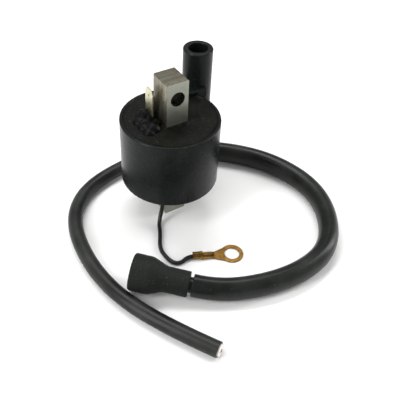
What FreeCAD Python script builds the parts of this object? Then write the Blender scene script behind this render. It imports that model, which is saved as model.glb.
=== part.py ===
import FreeCAD, Part
import math
import os

# Small-engine ignition coil: a potted cup coil on a laminated bar core, with a high-tension
# socket tower beside it, a push-on blade, an earth wire with a ring terminal, and a loose
# high-tension lead with its rubber boot.
#
# Frame: millimetres, +Z up along the bar core. The origin is the centre of the core's lower
# end face, on the surface that the coil stands on. X is the core's width, Y its stack.

V = FreeCAD.Vector
UP = V(0, 0, 1)

# ---- driving dimensions: bar core ------------------------------------------------------------
plate_count = 13
plate_thickness = 0.885
varnish_gap = 0.02
core_width = 10.8
core_length = 74.2
plate_corner = 0.6
mount_hole_radius = 3.5
mount_hole_inset = 8.2

# ---- driving dimensions: cup and potting -----------------------------------------------------
case_radius = 23.0
case_wall = 1.6
case_floor = 1.8
case_height = 33.4
case_bottom = 19.65
rim_round = 0.5
base_round = 0.8
potting_recess = 0.7
gland_radius = 2.1
gland_height = 1.2

# ---- driving dimensions: windings, from the core outwards ------------------------------------
core_tube_wall = 0.5
bobbin_web = 0.5
secondary_lift = 0.6
primary_build = 1.85
primary_flange = 1.0
insulation_wall = 0.35
secondary_tube_wall = 0.85
secondary_sections = 5
rib_thickness = 1.0
rib_margin = 2.4
section_depth = 1.5
top_potting = 3.4

# ---- driving dimensions: high-tension tower --------------------------------------------------
tower_radius = 7.1
tower_top = 72.2
tower_bottom = 33.0
tower_gap = 0.96
tower_bearing = 35.6
tower_round = 0.6
mouth_radius = 4.6
mouth_depth = 5.0
mouth_cone = 1.2
mouth_round = 0.5
socket_depth = 17.0
chamber_radius = 2.6
chamber_depth = 4.2
arm_overhang = 1.65
arm_width = 9.2
arm_height = 2.3
arm_inset = 1.5
arm_corner = 2.0
arm_edge_round = 1.0
web_width = 9.0
web_bottom = 36.0
contact_base_height = 2.0
spike_radius = 0.8
spike_tip_radius = 0.15
link_radius = 0.6

# ---- driving dimensions: blade and its sealant -----------------------------------------------
blade_width = 6.3
blade_thickness = 0.8
blade_top = 68.3
blade_centre_y = 4.6
blade_standoff = 2.3
blade_tip_width = 1.5
blade_tip_height = 2.0
dimple_radius = 0.9
dimple_depth = 0.25
dimple_drop = 4.1
blade_link_radius = 0.35
sealant_height = 2.6
sealant_round = 0.85     # share of a pad's height taken by its rounded edge
sealant_pads = [
    # radius, distance of the centre from the core's flank, y of the centre, share of the height
    (4.5, 4.5, 4.5, 1.0),
    (4.3, 4.4, -2.5, 0.85),
    (3.0, 7.6, 0.5, 0.6),
]

# ---- driving dimensions: earth wire and ring terminal ----------------------------------------
wire_radius = 1.0
wire_core_radius = 0.6
start_wire_radius = 0.2
ring_outer_radius = 5.35
ring_hole_radius = 3.5
ring_thickness = 0.8
barrel_wall = 0.55
barrel_length = 4.4
barrel_offset = 2.4
crimp_length = 4.8
crimp_radius = 1.3
neck_width = 2.4
neck_spread = 4.9        # half width of the neck where it runs into the ring
neck_overlap = 1.0
ring_reach = 21.0

# ---- driving dimensions: high-tension lead, sleeve and boot ----------------------------------
lead_radius = 3.5
lead_insulation_radius = 2.6
lead_conductor_radius = 0.9
sleeve_wall = 1.7
sleeve_end_run = 16.0
boot_length = 25.7
boot_bell_radius = 8.3
boot_neck_radius = 5.75
boot_bell_length = 8.5
boot_flare_length = 6.5
boot_cup_depth = 9.0
boot_edge_round = 0.5
boot_to_sleeve = 1.3

# ---- fits ------------------------------------------------------------------------------------
bond_gap = 0.05       # glued, moulded or potted joint
layer_gap = 0.02      # between the layers of a cable
socket_clearance = 0.15
boot_bore_clearance = 0.06
boot_cup_clearance = 0.05
sleeve_clearance = 0.1

# ---- cord routes: corner points, chosen by hand ----------------------------------------------
# The high-tension lead, from its end inside the boot to its cut end.
lead_route = [
    V(-34.4, -43.5, 8.5),
    V(-10.0, -66.0, 5.3),
    V(23.0, -74.5, 5.3),
    V(49.5, -67.5, 5.3),
    V(67.4, -38.5, 5.3),
    V(62.0, -6.5, 5.3),
    V(41.5, 17.5, 5.3),
    V(12.0, 33.5, 5.3),
    V(-22.5, 31.0, 3.5),
    V(-41.5, 20.0, 3.5),
    V(-51.5, 0.0, 3.5),
    V(-53.0, -32.0, 3.5),
    V(-43.1, -62.0, 3.5),
    V(-27.8, -87.0, 3.5),
]

# The earth wire, from the gland under the cup to the barrel of its ring terminal.
wire_route = [
    V(-7.35, -7.25, 21.3),
    V(-7.45, -7.35, 10.8),
    V(-12.1, -10.6, 1.0),
    V(-14.6, -16.5, 1.0),
    V(-20.0, -25.3, 1.0),
    V(-20.3, -31.4, 1.0),
    V(-19.2, -36.4, 1.0),
    V(-16.0, -38.4, 1.0),
    V(-11.67, -36.92, 1.6),
    V(-7.04, -38.81, 1.6),
]

# ---- places that follow from the dimensions --------------------------------------------------
stack_depth = plate_count * plate_thickness + (plate_count - 1) * varnish_gap
case_top = case_bottom + case_height
case_inner_radius = case_radius - case_wall
floor_top = case_bottom + case_floor
potting_top = case_top - potting_recess

core_tube_x = core_width / 2 + bond_gap + core_tube_wall
core_tube_y = stack_depth / 2 + bond_gap + core_tube_wall
primary_tube_radius = math.hypot(core_tube_x + bond_gap, core_tube_y + bond_gap) + bobbin_web
primary_radius = primary_tube_radius + bond_gap + primary_build
insulation_radius = primary_radius + 2 * bond_gap + insulation_wall
secondary_tube_radius = insulation_radius + bond_gap + secondary_tube_wall
rib_radius = case_inner_radius - rib_margin
secondary_radius = rib_radius - section_depth
bobbin_bottom = floor_top + bond_gap
secondary_bottom = floor_top + secondary_lift
bobbin_top = potting_top - top_potting
section_height = (bobbin_top - secondary_bottom - rib_thickness) / secondary_sections - rib_thickness

tower_reach = case_radius + tower_gap + tower_radius
tower_x = tower_reach * math.cos(math.radians(tower_bearing))
tower_y = tower_reach * math.sin(math.radians(tower_bearing))
socket_radius = lead_radius + socket_clearance
socket_top = tower_top - mouth_depth - mouth_cone
socket_bottom = socket_top - socket_depth
chamber_bottom = socket_bottom - chamber_depth
arm_front = tower_y - tower_radius - arm_overhang
arm_start = core_width / 2 + bond_gap + arm_inset
link_height = chamber_bottom + bond_gap + contact_base_height / 2

blade_x = -(core_width / 2 + blade_standoff + blade_thickness / 2)
blade_bottom = bobbin_top + bond_gap
blade_link_x = blade_x - blade_thickness / 2 - blade_link_radius - layer_gap

sleeve_inner_radius = lead_radius + sleeve_clearance
sleeve_radius = sleeve_inner_radius + sleeve_wall
boot_bore_radius = lead_radius + boot_bore_clearance
boot_cup_radius = tower_radius + boot_cup_clearance


# ---- helpers ---------------------------------------------------------------------------------
def cylinder(radius, z_low, z_high, x=0.0, y=0.0):
    """Upright cylinder between two heights."""
    return Part.makeCylinder(radius, z_high - z_low, V(x, y, z_low), UP)


def ring(outer, inner, z_low, z_high):
    """Upright tube about the Z axis."""
    return cylinder(outer, z_low, z_high).cut(cylinder(inner, z_low, z_high))


def block(x_low, x_high, y_low, y_high, z_low, z_high):
    """Box between two corners."""
    size = (x_high - x_low, y_high - y_low, z_high - z_low)
    return Part.makeBox(*size, V(x_low, y_low, z_low))


def core_prism(margin, z_low, z_high):
    """Square bar round the core, larger than it by a margin on every side."""
    half_x = core_width / 2 + margin
    half_y = stack_depth / 2 + margin
    return block(-half_x, half_x, -half_y, half_y, z_low, z_high)


def fuse_all(shapes):
    """One solid out of several that meet."""
    joined = shapes[0].multiFuse(shapes[1:])
    return joined.removeSplitter()


def circle_edges_at(shape, height, radius):
    """The level full-circle edges at one height and radius."""
    found = []
    for edge in shape.Edges:
        curve = edge.Curve
        if not isinstance(curve, Part.Circle):
            continue
        same_height = abs(curve.Center.z - height) < 1e-6
        if same_height and abs(curve.Radius - radius) < 1e-6:
            found.append(edge)
    return found


def corner_arcs(route):
    """The tangent arc at each inner point of a route: start, middle, end and radius."""
    arcs = []
    for before, corner, after in zip(route, route[1:], route[2:]):
        run_in = (before - corner)
        run_out = (after - corner)
        tangent = 0.45 * min(run_in.Length, run_out.Length)
        half_turn = (math.pi - run_in.getAngle(run_out)) / 2
        radius = tangent / math.tan(half_turn)
        to_before = run_in.normalize()
        to_after = run_out.normalize()
        start = corner + to_before * tangent
        end = corner + to_after * tangent
        inward = (to_before + to_after).normalize()
        middle = corner + inward * (radius / math.cos(half_turn) - radius)
        arcs.append((start, middle, end, radius))
    return arcs


def path_wire(first, arcs, last):
    """Straight runs joined by tangent arcs, as one wire."""
    edges = []
    here = first
    for start, middle, end, _ in arcs:
        edges.append(Part.LineSegment(here, start).toShape())
        edges.append(Part.Arc(start, middle, end).toShape())
        here = end
    edges.append(Part.LineSegment(here, last).toShape())
    return Part.Wire(edges)


def rod_along(first, arcs, last, radius):
    """Round rod of one radius along a path."""
    wire = path_wire(first, arcs, last)
    heading = (arcs[0][0] - first).normalize()
    section = Part.Wire([Part.Circle(first, heading, radius).toShape()])
    rod = wire.makePipeShell([section], True, False)
    expected = math.pi * radius ** 2 * wire.Length
    ratio = rod.Volume / expected
    print("  rod radius %.2f length %.1f volume ratio %.5f" % (radius, wire.Length, ratio))
    return rod


def hose_along(first, arcs, last, outer, inner):
    """Round hose between two radii along a path."""
    return rod_along(first, arcs, last, outer).cut(rod_along(first, arcs, last, inner))


def button(x, y, radius, height, z_low):
    """Low round pad with a well rounded top edge."""
    pad = cylinder(radius, z_low, z_low + height, x, y)
    top = [edge for edge in pad.Edges if abs(edge.BoundBox.ZMin - z_low - height) < 1e-6]
    return pad.makeFillet(sealant_round * height, top)


# ---- bar core --------------------------------------------------------------------------------
def make_core_laminations():
    """Stack of like plates, face to face along Y, with a cross hole near each end."""
    plates = []
    holes = []
    for height in (mount_hole_inset, core_length - mount_hole_inset):
        start = V(0, -stack_depth, height)
        holes.append(Part.makeCylinder(mount_hole_radius, 2 * stack_depth, start, V(0, 1, 0)))
    for index in range(plate_count):
        y_low = -stack_depth / 2 + index * (plate_thickness + varnish_gap)
        half = core_width / 2
        plate = block(-half, half, y_low, y_low + plate_thickness, 0, core_length)
        corners = [
            edge for edge in plate.Edges
            if abs(edge.Length - plate_thickness) < 1e-6 and edge.BoundBox.ZMin > core_length - 1
        ]
        plate = plate.makeFillet(plate_corner, corners)
        plates.append(plate.cut(holes[0]).cut(holes[1]))
    return Part.makeCompound(plates)


def make_core_tube():
    """Insulating paper tube between the core and the primary bobbin."""
    outside = core_prism(bond_gap + core_tube_wall, bobbin_bottom, bobbin_top)
    return outside.cut(core_prism(bond_gap, bobbin_bottom, bobbin_top))


# ---- windings --------------------------------------------------------------------------------
def make_primary_bobbin():
    """Round tube on the core tube, with a flange at each end and notches for the wire ends."""
    flange_radius = insulation_radius - bond_gap
    tube = cylinder(primary_tube_radius, bobbin_bottom, bobbin_top)
    lower = cylinder(flange_radius, bobbin_bottom, bobbin_bottom + primary_flange)
    upper = cylinder(flange_radius, bobbin_top - primary_flange, bobbin_top)
    bobbin = fuse_all([tube, lower, upper])
    hole_margin = 2 * bond_gap + core_tube_wall
    bobbin = bobbin.cut(core_prism(hole_margin, bobbin_bottom, bobbin_top))
    exit_x, exit_y = wire_route[0].x, wire_route[0].y
    notch = cylinder(wire_core_radius + bond_gap, bobbin_bottom, bobbin_bottom + primary_flange,
                     exit_x, exit_y)
    hole = cylinder(blade_link_radius + bond_gap, bobbin_top - primary_flange, bobbin_top,
                    blade_link_x, blade_centre_y)
    return bobbin.cut(notch).cut(hole).cut(start_wire_path(start_wire_radius + bond_gap))


def primary_span():
    """Lowest and highest height of the primary winding."""
    low = bobbin_bottom + primary_flange + bond_gap
    high = bobbin_top - primary_flange - bond_gap
    return low, high


def make_primary_winding():
    """The thick inner winding, as one closed ring of wire."""
    low, high = primary_span()
    return ring(primary_radius, primary_tube_radius + bond_gap, low, high)


def make_primary_insulation():
    """Wrapped insulation over the primary, under the secondary bobbin."""
    inner = primary_radius + bond_gap
    low, high = primary_span()
    return ring(inner + insulation_wall, inner, low, high)


def section_spans():
    """Lowest and highest height of each section between two ribs."""
    spans = []
    for index in range(secondary_sections):
        low = secondary_bottom + rib_thickness + index * (section_height + rib_thickness)
        spans.append((low, low + section_height))
    return spans


def make_secondary_bobbin():
    """Tube with evenly spaced ribs that part the fine winding into sections."""
    tube = ring(secondary_tube_radius, insulation_radius, secondary_bottom, bobbin_top)
    pieces = [tube]
    low = secondary_bottom
    for _ in range(secondary_sections + 1):
        pieces.append(ring(rib_radius, insulation_radius, low, low + rib_thickness))
        low = low + rib_thickness + section_height
    return fuse_all(pieces).cut(start_wire_path(start_wire_radius + bond_gap))


def make_secondary_winding():
    """The fine outer winding, one ring of wire in each section."""
    inner = secondary_tube_radius + bond_gap
    rings = []
    for low, high in section_spans():
        rings.append(ring(secondary_radius, inner, low + bond_gap, high - bond_gap))
    return Part.makeCompound(rings)


def start_wire_path(radius):
    """Round path outwards from the earth wire's core and up through the lowest rib."""
    exit_point = V(wire_route[0].x, wire_route[0].y, 0)
    heading = V(exit_point).normalize()
    height = floor_top + bond_gap + start_wire_radius
    start_reach = exit_point.Length + wire_core_radius + layer_gap
    riser_reach = (secondary_tube_radius + secondary_radius) / 2
    start = heading * start_reach + V(0, 0, height)
    riser_foot = heading * riser_reach + V(0, 0, height)
    rise_top = secondary_bottom + rib_thickness
    flat = Part.makeCylinder(radius, riser_reach - start_reach, start, heading)
    elbow = Part.makeSphere(radius, riser_foot)
    riser = cylinder(radius, height, rise_top, riser_foot.x, riser_foot.y)
    return fuse_all([flat, elbow, riser])


def make_secondary_start_wire():
    """Fine wire from the earth wire's core, under the bobbin, up into the first section."""
    return start_wire_path(start_wire_radius)


# ---- cup and potting -------------------------------------------------------------------------
def arm_body(margin, z_low, z_high):
    """The tower's arm between two heights, grown sideways by a margin."""
    x_low = arm_start - margin
    x_high = tower_x
    y_low = arm_front - margin
    y_high = arm_front + arm_width + margin
    return block(x_low, x_high, y_low, y_high, z_low, z_high)


def make_case_cup():
    """Open-topped moulded cup with a square hole for the core and a gland for the wire."""
    outside = cylinder(case_radius, case_bottom, case_top)
    inside = cylinder(case_inner_radius, floor_top, case_top)
    cup = outside.cut(inside)
    rim = circle_edges_at(cup, case_top, case_radius)
    rim += circle_edges_at(cup, case_top, case_inner_radius)
    cup = cup.makeFillet(rim_round, rim)
    cup = cup.makeFillet(base_round, circle_edges_at(cup, case_bottom, case_radius))
    exit_x, exit_y = wire_route[0].x, wire_route[0].y
    gland_low = case_bottom - gland_height
    gland = cylinder(gland_radius, gland_low, case_bottom, exit_x, exit_y)
    cup = fuse_all([cup, gland])
    cup = cup.cut(cylinder(wire_radius + bond_gap, gland_low, floor_top, exit_x, exit_y))
    cup = cup.cut(core_prism(bond_gap, gland_low, floor_top))
    cup = cup.cut(arm_body(bond_gap, potting_top - arm_inset - bond_gap, case_top))
    return cup.cut(link_rod(link_radius + bond_gap))


def make_potting_fill():
    """Resin that fills the cup round the windings, up to a little under the rim."""
    fill = cylinder(case_inner_radius - bond_gap, floor_top + bond_gap, potting_top)
    fill = fill.cut(core_prism(bond_gap, floor_top, case_top))
    cuts = [
        core_prism(2 * bond_gap + core_tube_wall, floor_top, bobbin_top + bond_gap),
        cylinder(insulation_radius + bond_gap, floor_top, bobbin_top + bond_gap),
    ]
    low = secondary_bottom - bond_gap
    for _ in range(secondary_sections + 1):
        high = low + rib_thickness + 2 * bond_gap
        cuts.append(cylinder(rib_radius + bond_gap, low, high))
        low = low + rib_thickness + section_height
    cuts.append(cylinder(secondary_radius + bond_gap, secondary_bottom, bobbin_top))
    cuts.append(arm_body(bond_gap, potting_top - arm_inset - bond_gap, case_top))
    cuts.append(link_rod(link_radius + bond_gap))
    half = blade_thickness / 2 + bond_gap
    half_width = blade_width / 2 + bond_gap
    cuts.append(block(blade_x - half, blade_x + half, blade_centre_y - half_width,
                      blade_centre_y + half_width, bobbin_top, case_top))
    cuts.append(cylinder(blade_link_radius + bond_gap, bobbin_top, blade_link_top() + bond_gap,
                         blade_link_x, blade_centre_y))
    cuts.append(start_wire_path(start_wire_radius + bond_gap))
    for tool in cuts:
        fill = fill.cut(tool)
    return max(fill.Solids, key=lambda solid: solid.Volume)


# ---- high-tension tower ----------------------------------------------------------------------
def link_rod(radius):
    """Straight rod from the top winding section out to the contact in the tower."""
    bearing = V(tower_x, tower_y, 0).normalize()
    start_reach = secondary_radius + bond_gap
    end_reach = tower_reach - chamber_radius - bond_gap
    start = bearing * start_reach + V(0, 0, link_height)
    return Part.makeCylinder(radius, end_reach + 2 * bond_gap - start_reach, start, bearing)


def make_ht_tower():
    """Socket tube with a web against the cup and a flat arm that reaches over the rim."""
    tube = cylinder(tower_radius, tower_bottom, tower_top, tower_x, tower_y)
    ends = [edge for edge in tube.Edges
            if abs(edge.BoundBox.ZMin - tower_top) < 1e-6
            or abs(edge.BoundBox.ZMax - tower_bottom) < 1e-6]
    tube = tube.makeFillet(tower_round, ends)
    arm_low = potting_top - arm_inset
    arm_high = case_top + arm_height
    arm = arm_body(0, arm_low, arm_high)
    upright = [edge for edge in arm.Edges
               if edge.BoundBox.ZLength > 1 and edge.BoundBox.XMax < tower_x - 1]
    arm = arm.makeFillet(arm_corner, upright)
    rim_edges = [edge for edge in arm.Edges
                 if edge.BoundBox.ZMin > arm_high - 1e-6 and edge.BoundBox.XMin < tower_x - 1]
    arm = arm.makeFillet(arm_edge_round, rim_edges)
    web = block(0, tower_reach, -web_width / 2, web_width / 2, web_bottom, case_top)
    web.rotate(V(0, 0, 0), UP, tower_bearing)
    web = web.cut(cylinder(case_radius + bond_gap, web_bottom, case_top))
    tower = fuse_all([tube, arm, web])
    outside_cup = cylinder(case_radius + bond_gap, web_bottom, arm_low)
    tower = tower.cut(outside_cup)
    tower = tower.cut(cylinder(mouth_radius, tower_top - mouth_depth, tower_top, tower_x, tower_y))
    tower = tower.makeFillet(mouth_round, circle_edges_at(tower, tower_top, mouth_radius))
    cone = Part.makeCone(socket_radius, mouth_radius, mouth_cone, V(tower_x, tower_y, socket_top), UP)
    tower = tower.cut(cone)
    tower = tower.cut(cylinder(socket_radius, socket_bottom, socket_top, tower_x, tower_y))
    tower = tower.cut(cylinder(chamber_radius, chamber_bottom, socket_bottom, tower_x, tower_y))
    return tower.cut(link_rod(link_radius + bond_gap))


def make_tower_contact():
    """Brass contact at the bottom of the socket: a round base with a pointed spike."""
    low = chamber_bottom + bond_gap
    base_top = low + contact_base_height
    base = cylinder(chamber_radius - bond_gap, low, base_top, tower_x, tower_y)
    spike_length = socket_bottom - base_top - layer_gap
    spike = Part.makeCone(spike_radius, spike_tip_radius, spike_length, V(tower_x, tower_y, base_top), UP)
    return fuse_all([base, spike])


def make_ht_link():
    """Straight wire that carries the high tension from the winding to the contact."""
    bearing = V(tower_x, tower_y, 0).normalize()
    start_reach = secondary_radius + bond_gap
    end_reach = tower_reach - chamber_radius
    start = bearing * start_reach + V(0, 0, link_height)
    return Part.makeCylinder(link_radius, end_reach - start_reach, start, bearing)


# ---- blade, its wire and its sealant ---------------------------------------------------------
def blade_link_top():
    """Highest point of the wire that joins the primary winding to the blade."""
    return blade_bottom + top_potting / 2


def make_terminal_blade():
    """Flat push-on tab with a tapered tip and a locking dimple."""
    half = blade_thickness / 2
    low_y = blade_centre_y - blade_width / 2
    high_y = blade_centre_y + blade_width / 2
    shoulder = blade_top - blade_tip_height
    outline = [
        V(blade_x - half, low_y, blade_bottom),
        V(blade_x - half, low_y, shoulder),
        V(blade_x - half, low_y + blade_tip_width, blade_top),
        V(blade_x - half, high_y - blade_tip_width, blade_top),
        V(blade_x - half, high_y, shoulder),
        V(blade_x - half, high_y, blade_bottom),
    ]
    face = Part.Face(Part.makePolygon(outline + outline[:1]))
    blade = face.extrude(V(blade_thickness, 0, 0))
    ball_radius = (dimple_radius ** 2 + dimple_depth ** 2) / (2 * dimple_depth)
    centre = V(blade_x - half + dimple_depth - ball_radius, blade_centre_y, blade_top - dimple_drop)
    return blade.cut(Part.makeSphere(ball_radius, centre))


def make_blade_link():
    """Wire end of the primary winding, standing against the blade's foot."""
    _, high = primary_span()
    return cylinder(blade_link_radius, high + layer_gap, blade_link_top(), blade_link_x, blade_centre_y)


def make_terminal_sealant():
    """Lumpy dab of sealant round the foot of the blade."""
    low = potting_top + layer_gap
    flank = -(core_width / 2 + 2 * bond_gap)
    pads = []
    for radius, distance, y, share in sealant_pads:
        pads.append(button(flank - distance, y, radius, share * sealant_height, low))
    half = blade_thickness / 2 + layer_gap
    half_width = blade_width / 2 + layer_gap
    slot = block(blade_x - half, blade_x + half, blade_centre_y - half_width,
                 blade_centre_y + half_width, low, low + sealant_height)
    return fuse_all(pads).cut(slot)


# ---- earth wire and ring terminal ------------------------------------------------------------
def make_wire_jacket(arcs):
    """Insulation of the earth wire."""
    return hose_along(wire_route[0], arcs, wire_route[-1], wire_radius, wire_core_radius + layer_gap)


def make_wire_core(arcs):
    """Stranded core of the earth wire, from the primary winding to the crimp."""
    low, _ = primary_span()
    top = V(wire_route[0].x, wire_route[0].y, low - layer_gap)
    heading = (wire_route[-1] - wire_route[-2]).normalize()
    end = wire_route[-1] + heading * (barrel_length + barrel_offset + crimp_length / 2
                                      - (wire_route[-1] - wire_route[-2]).Length)
    return rod_along(top, arcs, end, wire_core_radius)


def make_ring_terminal():
    """Brass ring with a tapered neck, a crimp for the strands and a barrel for the jacket."""
    heading = wire_route[-1] - wire_route[-2]
    bearing = math.degrees(math.atan2(heading.y, heading.x))
    axis_height = wire_route[-1].z
    barrel_radius = wire_radius + layer_gap + barrel_wall
    barrel_end = barrel_offset + barrel_length
    crimp_end = barrel_end + crimp_length

    def rod(radius, start, length):
        return Part.makeCylinder(radius, length, V(start, 0, axis_height), V(1, 0, 0))

    barrel = rod(barrel_radius, barrel_offset, barrel_length)
    crimp = rod(crimp_radius, barrel_end, crimp_length)
    disc = cylinder(ring_outer_radius, 0, ring_thickness, ring_reach, 0)
    strap = block(barrel_offset, crimp_end, -neck_width / 2, neck_width / 2, 0, axis_height)
    taper = [
        V(crimp_end - neck_overlap, -neck_width / 2, 0),
        V(ring_reach - neck_overlap, -neck_spread, 0),
        V(ring_reach - neck_overlap, neck_spread, 0),
        V(crimp_end - neck_overlap, neck_width / 2, 0),
    ]
    neck = Part.Face(Part.makePolygon(taper + taper[:1])).extrude(V(0, 0, ring_thickness))
    terminal = fuse_all([barrel, crimp, disc, strap, neck])
    terminal = terminal.cut(cylinder(ring_hole_radius, 0, ring_thickness, ring_reach, 0))
    terminal = terminal.cut(rod(wire_radius + layer_gap, barrel_offset, barrel_length))
    terminal = terminal.cut(rod(wire_core_radius + layer_gap, barrel_end, crimp_length))
    terminal.rotate(V(0, 0, 0), UP, bearing)
    terminal.translate(V(wire_route[-2].x, wire_route[-2].y, 0))
    return terminal


# ---- high-tension lead, sleeve and boot ------------------------------------------------------
def boot_heading():
    """Unit vector from the boot's mouth towards its neck, along the lead's first run."""
    return (lead_route[1] - lead_route[0]).normalize()


def boot_mouth():
    """Centre of the boot's open end."""
    return lead_route[0] - boot_heading() * (boot_cup_depth + bond_gap)


def make_lead_jacket(arcs):
    """Black outer layer of the high-tension lead."""
    inner = lead_insulation_radius + layer_gap
    return hose_along(lead_route[0], arcs, lead_route[-1], lead_radius, inner)


def make_lead_insulation(arcs):
    """White inner insulation of the high-tension lead."""
    inner = lead_conductor_radius + layer_gap
    return hose_along(lead_route[0], arcs, lead_route[-1], lead_insulation_radius, inner)


def make_lead_conductor(arcs):
    """Stranded copper core of the high-tension lead."""
    return rod_along(lead_route[0], arcs, lead_route[-1], lead_conductor_radius)


def make_lead_sleeve(arcs):
    """Thick outer sleeve over the lead, from just behind the boot to behind the coil."""
    start = boot_mouth() + boot_heading() * (boot_length + boot_to_sleeve)
    last_run = (lead_route[7] - lead_route[6]).normalize()
    end = lead_route[6] + last_run * sleeve_end_run
    return hose_along(start, arcs[:6], end, sleeve_radius, sleeve_inner_radius)


def make_lead_boot():
    """Rubber boot: a wide bell that fits over the tower, a flare and a neck on the lead."""
    flare_end = boot_bell_length + boot_flare_length
    outline = [
        V(0, boot_cup_radius, 0),
        V(0, boot_bell_radius, 0),
        V(boot_bell_length, boot_bell_radius, 0),
        V(flare_end, boot_neck_radius, 0),
        V(boot_length, boot_neck_radius, 0),
        V(boot_length, boot_bore_radius, 0),
        V(boot_cup_depth, boot_bore_radius, 0),
        V(boot_cup_depth, boot_cup_radius, 0),
    ]
    face = Part.Face(Part.makePolygon(outline + outline[:1]))
    boot = face.revolve(V(0, 0, 0), V(1, 0, 0), 360)
    rims = []
    for edge in boot.Edges:
        if not isinstance(edge.Curve, Part.Circle):
            continue
        at_mouth = abs(edge.Curve.Center.x) < 1e-6
        at_neck = abs(edge.Curve.Center.x - boot_length) < 1e-6
        outer = edge.Curve.Radius > boot_bore_radius + boot_edge_round
        if (at_mouth and edge.Curve.Radius > boot_cup_radius + 1e-6) or (at_neck and outer):
            rims.append(edge)
    boot = boot.makeFillet(boot_edge_round, rims)
    turn = FreeCAD.Rotation(V(1, 0, 0), boot_heading())
    boot.Placement = FreeCAD.Placement(boot_mouth(), turn)
    return boot


# ---- build -----------------------------------------------------------------------------------
def main():
    os.makedirs("parts", exist_ok=True)
    lead_arcs = corner_arcs(lead_route)
    wire_arcs = corner_arcs(wire_route)
    print("lead radii", ["%.1f" % arc[3] for arc in lead_arcs])
    print("wire radii", ["%.1f" % arc[3] for arc in wire_arcs])
    nodes = {
        "core_laminations": make_core_laminations(),
        "core_tube": make_core_tube(),
        "primary_bobbin": make_primary_bobbin(),
        "primary_winding": make_primary_winding(),
        "primary_insulation": make_primary_insulation(),
        "secondary_bobbin": make_secondary_bobbin(),
        "secondary_winding": make_secondary_winding(),
        "secondary_start_wire": make_secondary_start_wire(),
        "case_cup": make_case_cup(),
        "potting_fill": make_potting_fill(),
        "ht_tower": make_ht_tower(),
        "tower_contact": make_tower_contact(),
        "ht_link": make_ht_link(),
        "terminal_blade": make_terminal_blade(),
        "blade_link": make_blade_link(),
        "terminal_sealant": make_terminal_sealant(),
        "wire_jacket": make_wire_jacket(wire_arcs),
        "wire_core": make_wire_core(wire_arcs),
        "ring_terminal": make_ring_terminal(),
        "lead_jacket": make_lead_jacket(lead_arcs),
        "lead_insulation": make_lead_insulation(lead_arcs),
        "lead_conductor": make_lead_conductor(lead_arcs),
        "lead_sleeve": make_lead_sleeve(lead_arcs),
        "lead_boot": make_lead_boot(),
    }
    for name, shape in nodes.items():
        shape.exportStep("parts/%s.step" % name)
        box = shape.BoundBox
        print("%-22s solids %2d valid %s volume %9.1f z %6.2f..%6.2f" % (
            name, len(shape.Solids), shape.isValid(), shape.Volume, box.ZMin, box.ZMax))


main()
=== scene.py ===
"""Small-engine ignition coil with its earth wire and a loose high-tension lead."""

import math

import bmesh
import bpy
import numpy as np
from bpy.props import FloatProperty, FloatVectorProperty, PointerProperty
from mathutils import Matrix, Vector


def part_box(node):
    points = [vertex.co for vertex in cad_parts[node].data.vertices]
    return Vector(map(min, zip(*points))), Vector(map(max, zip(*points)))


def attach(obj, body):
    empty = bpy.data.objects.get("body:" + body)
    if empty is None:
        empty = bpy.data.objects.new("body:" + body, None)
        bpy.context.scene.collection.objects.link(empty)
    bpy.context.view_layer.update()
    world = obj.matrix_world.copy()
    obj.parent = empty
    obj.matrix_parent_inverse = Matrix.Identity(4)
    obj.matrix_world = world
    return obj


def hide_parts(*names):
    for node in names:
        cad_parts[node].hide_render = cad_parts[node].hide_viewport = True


bl_info = {
    "name": "Ignition Coil Looks",
    "version": (1, 0, 0),
    "blender": (4, 5, 0),
    "location": "View3D > Sidebar > Coil",
    "description": "Builds the shown pieces of an ignition coil round its packed frame",
    "category": "Object",
}

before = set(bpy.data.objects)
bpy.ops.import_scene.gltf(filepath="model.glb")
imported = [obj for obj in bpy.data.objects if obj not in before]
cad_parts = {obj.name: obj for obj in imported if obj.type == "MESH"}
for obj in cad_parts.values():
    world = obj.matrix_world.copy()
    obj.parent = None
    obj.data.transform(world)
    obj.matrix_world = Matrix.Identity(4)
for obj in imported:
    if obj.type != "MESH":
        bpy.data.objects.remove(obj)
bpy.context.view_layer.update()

MM = 0.001
UP = np.array([0.0, 0.0, 1.0])

# The high-tension lead's line, from its end inside the boot to its cut end. The second point
# lies close to the first, so that the boot holds the lead straight.
LEAD_ROUTE = MM * np.array([
    (-34.4, -43.5, 8.5),
    (-31.47, -46.20, 8.12),
    (-10.0, -66.0, 5.3),
    (23.0, -74.5, 5.3),
    (49.5, -67.5, 5.3),
    (67.4, -38.5, 5.3),
    (62.0, -6.5, 5.3),
    (41.5, 17.5, 5.3),
    (12.0, 33.5, 5.3),
    (-22.5, 31.0, 3.5),
    (-41.5, 20.0, 3.5),
    (-51.5, 0.0, 3.5),
    (-53.0, -32.0, 3.5),
    (-43.1, -62.0, 3.5),
    (-27.8, -87.0, 3.5),
])

# The earth wire's line, from the gland under the cup to the barrel of its ring terminal.
WIRE_ROUTE = MM * np.array([
    (-7.35, -7.25, 21.3),
    (-7.45, -7.35, 10.8),
    (-12.1, -10.6, 1.0),
    (-14.6, -16.5, 1.0),
    (-20.0, -25.3, 1.0),
    (-20.3, -31.4, 1.0),
    (-19.2, -36.4, 1.0),
    (-16.0, -38.4, 1.0),
    (-11.67, -36.92, 1.6),
    (-7.04, -38.81, 1.6),
])

# Steel plates in the bar core.
PLATES = 13

# The lead's end lies this far inside the boot's mouth, on the floor of its cup.
BOOT_FLOOR = 9.05 * MM

# The ring terminal, in millimetres along it from the last corner of the earth wire's line.
BARREL_START, BARREL_END = 2.4, 6.8
CRIMP_START, CRIMP_END = 7.1, 11.3
CHANNEL_START, CHANNEL_END = 6.0, 15.42
RING_MIDDLE, RING_RADIUS, RING_HOLE = 21.0, 5.35, 3.5
WIRE_AXIS = 1.6


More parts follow.
